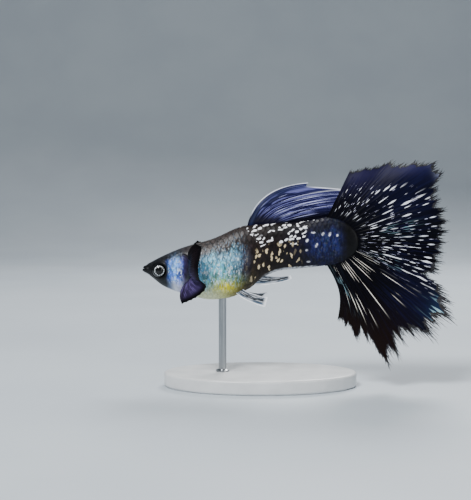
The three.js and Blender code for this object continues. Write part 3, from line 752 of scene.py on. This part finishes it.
PECTORAL_X = 8.3  # the pectoral fans' roots lie this far from the snout
# how far each of their rays reaches back, up and out from its root
pectoral_back = curve(
    [(0, 0.2), (0.12, 1.2), (0.3, 0.9), (0.45, 0.7), (0.6, 0.9), (0.72, 1.9), (0.86, 0.3), (1, -1.9)]
)
pectoral_up = curve([(0, 3.5), (0.12, 3.1), (0.3, 1.7), (0.6, -0.8), (0.72, -1.8), (0.86, -3.3), (1, -4.2)])
pectoral_out = curve([(0, 2.6), (0.18, 4.3), (0.5, 5.5), (0.75, 4.7), (0.9, 3.4), (1, 2.3)])


def pectoral_sheet(side):
    """A pectoral fan, cupped forwards."""

    def sheet(t, v):
        root_z = 0.75 - 1.6 * t
        off = side_out(PECTORAL_X, root_z) + ROOTED
        x = PECTORAL_X + pectoral_back(t) * v - 1.1 * np.sin(math.pi * np.clip(v, 0, 1))
        y = sway(PECTORAL_X) + side * (off + pectoral_out(t) * v)
        return np.stack([x, y, root_z + pectoral_up(t) * v], -1)

    return sheet


PELVIC_OFF = 0.75  # the pelvic roots lie this far off the middle line
# side, root along the belly, first and last ray as x and z of its bend and of its tip, and its reach out
PELVIC = {
    "left": (-1, (14.5, 15.6), (16.2, -5.15, 19.1, -5.75), (17.1, -4.0, 19.5, -4.25), 1.1),
    "right": (1, (14.3, 15.4), (16.3, -4.95, 18.7, -4.75), (17.3, -4.1, 19.6, -3.75), 1.0),
}


def pelvic_sheet(side, root, first, last, out):
    """A pelvic fan under the belly."""

    def sheet(t, v):
        x = root[0] + (root[1] - root[0]) * t
        bend_x, bend_z, tip_x, tip_z = (a + (b - a) * t for a, b in zip(first, last))
        px = bow(x, bend_x, tip_x, v)
        pz = bow(under_at(x, PELVIC_OFF) - ROOTED, bend_z, tip_z, v)
        y = sway(x) + side * (PELVIC_OFF + out * np.maximum(0, v) ** 1.3)
        return np.stack([px, y, pz], -1)

    return sheet


TAIL_RAYS = 31
TAIL_TOP = 81  # degrees of the first ray above the level
TAIL_SPREAD = 172  # degrees from the first ray to the last
TAIL_CENTRE = (30.45, 4.04)  # x and z that the tail's reach is measured from
TAIL_SEED = 7  # the solid model's own, for the same ragged tips
# how far the tail reaches, by degrees above the level
tail_reach = curve(
    [(-91, 12), (-82, 14.2), (-74, 17.7), (-68, 20.3), (-58, 19.5), (-46, 19.4), (-34, 20), (-24, 18)]
    + [(-20, 14.9), (-13, 16.2), (17, 17.2), (38, 19), (52, 16), (66, 13.2), (81, 11.3)]
)
# how deep its rim is torn, from the first ray to the last
tail_ragged = curve([(0, 0.05), (0.1, 0.05), (0.3, 0.09), (0.6, 0.07), (0.72, 0.12), (0.9, 0.17), (1, 0.08)])


def tail_sheet(t, v):
    """The tail fan, rooted round the stalk's end and waving to both sides."""
    degrees = TAIL_TOP - TAIL_SPREAD * t
    reach = tail_reach(degrees)
    angle = np.radians(degrees)
    middle, half, bulge = stalk_end()
    share = 0.97 * (1 - 2 * t)
    length = np.hypot(half, 2 * bulge * share)
    root_x = STALK_END + bulge * (1 - share**2) + ROOTED * half / length
    root_z = middle + half * share + ROOTED * 2 * bulge * share / length
    x = root_x + (TAIL_CENTRE[0] + reach * np.cos(angle) - root_x) * v
    z = root_z + (TAIL_CENTRE[1] + reach * np.sin(angle) - root_z) * v
    x = x + 1.2 * np.sin(math.pi * np.minimum(v, 1)) * np.maximum(0, 2 * t - 1) ** 3
    spread = np.maximum(0, v) ** 1.6
    wave = 1.1 * np.sin(2 * math.pi * (2.1 * t + 0.1)) + 0.35 * np.sin(2 * math.pi * (6.3 * t + 0.35))
    y = sway(x) + spread * wave - 1.6 * spread * np.maximum(0, (t - 0.6) / 0.4) ** 2
    return np.stack([x, y, z], -1)


def tail_fill(t):
    """How far out the tail's membrane reaches at t: a peak on each ray and a notch between."""
    tips = 1 - tail_ragged(np.linspace(0, 1, TAIL_RAYS)) * draws(TAIL_SEED, TAIL_RAYS)
    step = 1 / (TAIL_RAYS - 1)
    places = []
    values = []
    for i, tip in enumerate(tips):
        for shift in (-0.3, 0, 0.3):
            at = i * step + shift * step
            places.append(at)
            values.append(tip - (0.6 * tail_ragged(np.clip(at, 0, 1)) if shift else 0))
    fill = np.interp(t, places, values)
    return fill - 0.018 * np.abs(np.sin(math.pi * t * TAIL_RAYS * 2.6 + 1))


def pectoral_fill(t):
    """How far out a pectoral fan's membrane reaches, with shallow scallops."""
    return 1 - 0.02 * np.abs(np.sin(math.pi * t * 22))


def even_rim(t):
    """A membrane that reaches the rim everywhere."""
    return 1 + 0 * t


def sheet_normals(sheet, t, v):
    """Unit normals of a sheet at t and v."""
    step = 1e-3
    across = sheet(np.minimum(t + step, 1), v) - sheet(np.maximum(t - step, 0), v)
    along = sheet(t, v + step) - sheet(t, v - step)
    return unit(np.cross(across, along))


def ray_relief(t, v, rays):
    """Height of the ridges, 0 to 1: each ray forks once at mid fin and again near the rim."""

    def ridge(count, shift):
        return np.maximum(0, np.cos(2 * math.pi * (t * count + shift))) ** 2

    first = smooth(0.32, 0.45, v)
    second = smooth(0.66, 0.8, v)
    plain = ridge(rays - 1, 0) * (1 - first)
    forked = 0.8 * ridge((rays - 1) * 2, 0.5) * first * (1 - second)
    return plain + forked + 0.6 * ridge((rays - 1) * 4, 0) * second


RAY_JOINTS = 26  # joints of a ray from root to rim


def new_fin(sheet, rays, rows, per_ray, fill=even_rim, membrane=0.06, ray=0.07, root=0.2):
    """A fin closed all round: membrane with raised rays, thickest at the root and thin at the rim.

    Membrane and root are half thicknesses, ray is what a ray adds to them, and per_ray is the number of
    faces from ray to ray.
    """
    t = np.linspace(0, 1, (rays - 1) * per_ray + 1)[None]
    share = np.linspace(0, 1, rows + 1)[:, None]
    v = share * fill(t)
    t = t + 0 * share
    joints = 1 - 0.18 * hill((v * RAY_JOINTS) % 1, 0.5, 0.12)
    raised = ray * ray_relief(t, v, rays) * joints
    half = membrane + raised * smooth(1, 0.85, share) * smooth(0.02, 0.3, share)
    half = half + (root - membrane) * smooth(0.22, 0, share) ** 1.5
    half = half * (1 - 0.55 * smooth(0.8, 1, share))
    middle = sheet(t, v)
    lift = sheet_normals(sheet, t, v) * half[..., None]
    bm = new_grid(middle - lift, "ray", np.stack([t, v], -1), middle + lift)
    return bm, t, v


def finish_fin(name, bm, material, node_name, ground, zones=(0, 0, 0)):
    """Finishes a fin with its painted ground and the three zones that its material reads."""
    blank = 0 * ground[..., 0]
    marks = np.stack([zone + blank for zone in (*zones, 1)], -1)
    paints = {"ground": ground, "marks": marks}
    finish_piece(name, bm, material, (node_name,), sharp=50, paints=paints)


# blotches of the tail's ground: colour, strength, then middle and half width across and out
TAIL_BLOTCHES = [
    ("#090b24", 0.7, 0.25, 0.16, 0.65, 0.3),  # indigo sheen of the upper fan
    ("#0a0c26", 0.7, 0.68, 0.1, 0.75, 0.2),
    ("#2a2748", 0.7, 0.07, 0.08, 0.85, 0.25),  # greyish lavender of the front edge
    ("#2b2a58", 0.6, 0.2, 0.05, 0.95, 0.15),
    ("#858aa2", 0.85, 0.275, 0.03, 0.99, 0.05),  # pale fold of the upper corner
    ("#1f3556", 0.5, 0.67, 0.04, 0.93, 0.1),
    ("#150c0a", 0.95, 0.88, 0.13, 0.85, 0.3),  # brownish lower lobe
]
# blue-green glints: middle and half width across and out
TAIL_GLINTS = [
    (0.4, 0.02, 0.52, 0.13), (0.585, 0.018, 0.48, 0.12), (0.67, 0.03, 0.93, 0.1), (0.94, 0.03, 0.3, 0.2),
]
# dashes: lines across the fin, dashes along a line, how rare, how thin, zone and colour
TAIL_DASHES = [
    # the first row paints glints along the rays
    (92, 6, 0.5, 0.9, "Blue", "#8fb4c0"),
    (104, 16, 0.67, 1.5, "Red", "#c9c8e4"),
    (62, 9, 0.55, 1.25, "Red", "#f6f7ff"),
    (56, 3.2, 0.55, 1.7, "Green", "#efe9dd"),
]
DORSAL_DASHES = [(30, 2.2, 0.52, 1.0, "Red", "#c4c8f2")]


def make_tail():
    bm, t, v = new_fin(tail_sheet, TAIL_RAYS, rows=78, per_ray=11, fill=tail_fill, membrane=0.07, ray=0.08)
    colour = np.broadcast_to(to_linear("#030306"), (*t.shape, 3))
    for tone, strength, at_t, wide_t, at_v, wide_v in TAIL_BLOTCHES:
        colour = blotch(colour, tone, strength * hill(t, at_t, wide_t) * hill(v, at_v, wide_v))
    sheen = np.clip(0.25 + 0.75 * smooth(0.25, 0.6, v) * smooth(0.85, 0.7, t), 0, 1)
    rim = 0.97 - 0.25 * smooth(0.36, 0.2, t)
    # where the dashes lie: the upper fan but for its folded corner, and the lower lobe
    upper = smooth(0.02, 0.06, t) * smooth(0.66, 0.58, t) * smooth(0.13, 0.22, v)
    upper = upper * smooth(rim, rim - 0.15, v) * (1 - hill(t, 0.25, 0.05) * smooth(0.6, 0.8, v))
    lower = smooth(0.6, 0.64, t) * smooth(0.97, 0.93, t) * smooth(0.06, 0.12, v)
    lower = lower * smooth(0.72, 0.5, v + 0.25 * (t - 0.7))
    glint = sum(hill(t, at_t, wide_t) * hill(v, at_v, wide_v) for at_t, wide_t, at_v, wide_v in TAIL_GLINTS)
    # its streaks are a painted indigo sheen, laid on where the sheen mask allows
    material = fin_material("tail fin membrane", 150, "#15173c", 0.3, TAIL_DASHES)
    ground = with_fourth(colour, sheen)
    zones = (upper, lower, np.clip(glint, 0, 1))
    finish_fin("tail_fan", bm, material, "caudal_fin", ground, zones)


THREADS = 1500
THREAD_SEED = 41
THREAD_FOOT = 0.02  # each thread starts this far inside the rim
THREAD_STRAY = 0.012  # the tips scatter this far along the rim
THREAD_SPLAY = 0.5  # and this many millimetres to the sides


def make_threads():
    """The frayed threads past the tail's rim, each a strip that tapers and strays.

    Lengths are shares of the tail's reach, and widths are shares of its rim.
    """
    first, second, third, fourth = draws(THREAD_SEED, 4 * THREADS).reshape(THREADS, 4).T
    at = (np.arange(THREADS) + first) / THREADS
    length = (0.012 + 0.06 * second**2) * (1 + 1.4 * hill(at, 0.7, 0.16))
    share = np.linspace(0, 1, 6)[:, None]
    edge = np.tile([-1.0, 1.0], THREADS)  # the two edges of each strip
    thread = (at, length, third - 0.5, 0.001 + 0.0008 * fourth)
    at, length, stray, wide = (np.repeat(values, 2)[None] for values in thread)
    v = tail_fill(at) - THREAD_FOOT + (THREAD_FOOT + length) * share
    t = np.clip(at + stray * THREAD_STRAY * share**2 + wide * (1 - 0.9 * share) * edge, 0, 1)
    lift = sheet_normals(tail_sheet, t, v) * (0.028 * (1 - 0.6 * share))[..., None]
    middle = tail_sheet(t, v)
    middle[..., 1] += stray * THREAD_SPLAY * share**2
    bm = new_grid(middle - lift, "ray", np.stack([t, v], -1), middle + lift, strips=True)

    # torn fin skin: near black with a faint violet
    add, close = new_material("frayed tail threads")
    noise = add("TexNoise", {"Vector": in_mm_cells(add, 0.8, 0.8, 0.8), "Scale": 1, "Detail": 2})
    toned = add("MapRange", {"Value": noise, "From Min": 0.4, "From Max": 0.65}, **SOFT)
    colour = add("Mix", {"Factor": toned, "A": rgba("#07060a"), "B": rgba("#15131d")}, **TINT)
    finish_piece("tail_threads", bm, close(Base_Color=colour, Roughness=0.5), ())


def make_dorsal():
    bm, t, v = new_fin(dorsal_sheet, rays=9, rows=60, per_ray=16, membrane=0.07, ray=0.09, root=0.25)
    colour = ramp([(0, "#111130"), (0.3, "#121238"), (0.6, "#0f0f34"), (1, "#08081e")], t)
    colour = blotch(colour, "#08081a", smooth(0.3, 0.08, v))
    colour = blotch(colour, "#1c2440", 0.8 * hill(t, 0.09, 0.05))
    colour = blotch(colour, "#3c3e78", 0.3 * smooth(0.55, 0.9, v))
    foot = smooth(0.72, 0.92, t)
    colour = blotch(colour, "#040410", 0.95 * foot)  # dark foot along the back, deepened by painted shade where the sail lies over the back
    front = smooth(0.03, 0.01, t) * smooth(0.1, 0.25, v)
    upper_rim = smooth(0.92, 0.98, v) * smooth(0.11, 0.14, t) * smooth(0.24, 0.2, t)
    fold = 0.6 * hill(t, 0.2, 0.008) * smooth(0.7, 0.85, v)
    colour = blotch(colour, "#eef3ff", front + upper_rim + fold)  # pale edges
    shown = (0.15 + 0.85 * smooth(0.1, 0.15, t)) * (1 - foot) * smooth(0.12, 0.3, v)
    material = fin_material("dorsal fin membrane", 34, "#7476b2", 0.62, DORSAL_DASHES, roughness=0.45)
    ground = with_fourth(colour, shown)
    zones = (shown * smooth(0.2, 0.4, v), 0, 0)
    finish_fin("dorsal_sail", bm, material, "dorsal_fin", ground, zones)


def make_pectorals():
    material = fin_material("pectoral fin membrane", 60, "#564a78", 0.8, roughness=0.42)
    tones = [(0, "#0d090c"), (0.4, "#140d12"), (0.6, "#231a33"), (0.8, "#32294a"), (1, "#1c1626")]
    for name, side in SIDES.items():
        bm, t, v = new_fin(pectoral_sheet(side), rays=12, rows=44, per_ray=12, fill=pectoral_fill, root=0.25)
        colour = blotch(ramp(tones, t), "#060507", smooth(0.8, 0.95, v))  # black rim
        ground = with_fourth(colour, smooth(0.45, 0.7, t) * smooth(0.9, 0.7, v))
        finish_fin("pectoral_fan_" + name, bm, material, "pectoral_fin_" + name, ground)


def make_clear_fins():
    material = fin_material("clear fin membrane", 11, "#f4f8ff", 1.0, roughness=0.25, clear=5)
    tones = [(0, "#f4f8ff"), (0.16, "#5f7890"), (0.5, "#141a20"), (0.84, "#3c4c5c"), (1, "#eef3fa")]
    fins = [("anal_rod", "anal_fin", anal_sheet, 5)]
    for side, measures in PELVIC.items():
        fins.append(("pelvic_fan_" + side, "pelvic_fin_" + side, pelvic_sheet(*measures), 6))
    for piece_name, node_name, sheet, rays in fins:
        bm, t, v = new_fin(sheet, rays, rows=36, per_ray=12)
        colour = blotch(ramp(tones, t), "#06070a", 0.9 * hill(t, 0.55, 0.3) * hill(v, 0.45, 0.3))
        edge = np.maximum(smooth(0.2, 0.06, t), np.maximum(smooth(0.9, 1, t), smooth(0.88, 0.98, v)))
        colour = blotch(colour, "#f6f9fd", edge)
        solid = np.maximum(edge, smooth(0.2, 0.05, v))
        finish_fin(piece_name, bm, material, node_name, with_fourth(colour, 0.6), (0, 0, solid))


# Stand: an oval base plate with rounded edges, and a rod with a small collar at its foot
BASE = dict(long=15.0, wide=9.5, thick=2.2, round=0.4)
ROD = dict(x=12.5, radius=0.6, inside=0.15)  # its top ends this far inside the belly
STAND_WELD = 0.001 * MM
STAND_FACES = 128  # faces round the base and the rod


def make_base():
    around = np.linspace(0, 2 * math.pi, STAND_FACES + 1)
    corner = np.linspace(0, math.pi / 2, 9)
    inset = BASE["round"] * (1 - np.sin(corner))
    rise = BASE["round"] * (1 - np.cos(corner))
    outline = [(0, 0, 0)]
    for inward, height in zip([*inset, *inset[::-1]], [*rise, *(BASE["thick"] - rise[::-1])]):
        outline.append((BASE["long"] - inward, BASE["wide"] - inward, height))
    outline.append((0, 0, BASE["thick"]))
    rings = [np.stack([x * np.cos(around), y * np.sin(around), 0 * around + z], -1) for x, y, z in outline]
    points = np.array(rings) - (SNOUT_X, 0, SNOUT_Z)
    bm = new_grid(points, "plan", points[..., :2])
    # moulded acrylic, sanded to a satin: even and white, with a soft gloss
    material = plain_material("satin white acrylic", "#cfd1d2", "#d9dbdc", (3, 3, 3), 0.32)
    finish_piece("base_plate", bm, material, ("stand_base",), STAND_WELD, sharp=40)


def make_rod():
    around = np.linspace(0, 2 * math.pi, STAND_FACES + 1)
    across = ROD["radius"] * np.cos(around)
    side = ROD["radius"] * np.sin(around)
    foot = BASE["thick"] - SNOUT_Z + 0 * around
    top = under_at(ROD["x"] + across, side) + ROD["inside"]
    levels = [(0, foot), (1.75, foot), (1.7, foot + 0.25), (1.02, foot + 0.4), (1, foot + 3.5)]
    levels += [(1, top - 0.2), (1, top), (0, top.mean() + 0 * top)]
    rings = [np.stack([ROD["x"] + across * k, sway(ROD["x"]) + side * k, z], -1) for k, z in levels]
    points = np.array(rings)
    bm = new_grid(points, "plan", points[..., :2])
    # steel brushed lengthwise: a soft grey gleam drawn out into upright strokes 0.05 mm wide
    material = plain_material("brushed steel", "#8d9093", "#b3b6b9", (0.05, 0.05, 6), 0.3, Metallic=1.0)
    finish_piece("rod", bm, material, ("stand_rod",), STAND_WELD, sharp=40)


make_skin()
make_eyes()
make_tail()
make_threads()
make_dorsal()
make_pectorals()
make_clear_fins()
make_base()
make_rod()

# Studio: pale floor, soft light, and a camera square to the fish's left side, as in the photo
MM_PER_PIXEL = 0.15534
PHOTO = (471, 500)  # its width and height
SNOUT_PIXEL = (142, 269)  # where the tip of the snout is in it
target_x = SNOUT_X + (PHOTO[0] / 2 - SNOUT_PIXEL[0]) * MM_PER_PIXEL
target_z = SNOUT_Z + (SNOUT_PIXEL[1] - PHOTO[1] / 2) * MM_PER_PIXEL
target = Vector((target_x, 0, target_z)) * MM

# the floor, in metres, turns up into a backdrop behind the fish
FLOOR_HALF = 1.5
SWEEP_FROM = 0.3
SWEEP_RADIUS = 0.3
BACKDROP_STRETCH = 4
bm = bmesh.new()
bmesh.ops.create_grid(bm, x_segments=1, y_segments=120, size=FLOOR_HALF)
for vert in bm.verts:
    behind = min(max(vert.co.y - SWEEP_FROM, 0), SWEEP_RADIUS)
    above = max(vert.co.y - SWEEP_FROM - SWEEP_RADIUS, 0) * BACKDROP_STRETCH
    vert.co.z = SWEEP_RADIUS - math.sqrt(SWEEP_RADIUS**2 - behind**2) + above
    vert.co.y = min(vert.co.y, SWEEP_FROM + SWEEP_RADIUS)
# painted board: an even pale grey with a low sheen
floor_paint = plain_material("pale floor", "#b9c2ca", "#bfc8cf", (40, 40, 40), 0.6)
put_in_scene("floor", new_mesh("floor", bm, floor_paint))

CAMERA_ELEVATION = 3  # degrees above the level
camera = bpy.data.cameras.new("camera")
camera.lens = 85
camera.sensor_fit = "HORIZONTAL"
camera.clip_start = 0.01
distance = PHOTO[0] * MM_PER_PIXEL * MM * camera.lens / camera.sensor_width
elevation = math.radians(CAMERA_ELEVATION)
eye_point = put_in_scene("camera", camera)
eye_point.location = target + Vector((0, -math.cos(elevation), math.sin(elevation))) * distance
eye_point.rotation_euler = (math.pi / 2 - elevation, 0, 0)
bpy.context.scene.camera = eye_point

# lamps: name, place and size in metres, and power
for name, place, size, power in (
    ("key", (-0.12, -0.2, 0.3), 0.12, 1.8),
    ("fill", (0.25, -0.25, 0.12), 0.2, 0.3),
    ("rim", (0.08, 0.25, 0.25), 0.14, 1.0),
):
    lamp = bpy.data.lights.new(name, "AREA")
    lamp.size = size
    lamp.energy = power
    light = put_in_scene(name, lamp)
    light.location = place
    light.rotation_euler = (target - Vector(place)).to_track_quat("-Z", "Y").to_euler()

world = bpy.data.worlds.new("studio")
world.use_nodes = True
world.node_tree.nodes["Background"].inputs["Color"].default_value = rgba("#c4cbd2")
world.node_tree.nodes["Background"].inputs["Strength"].default_value = 0.4
bpy.context.scene.world = world
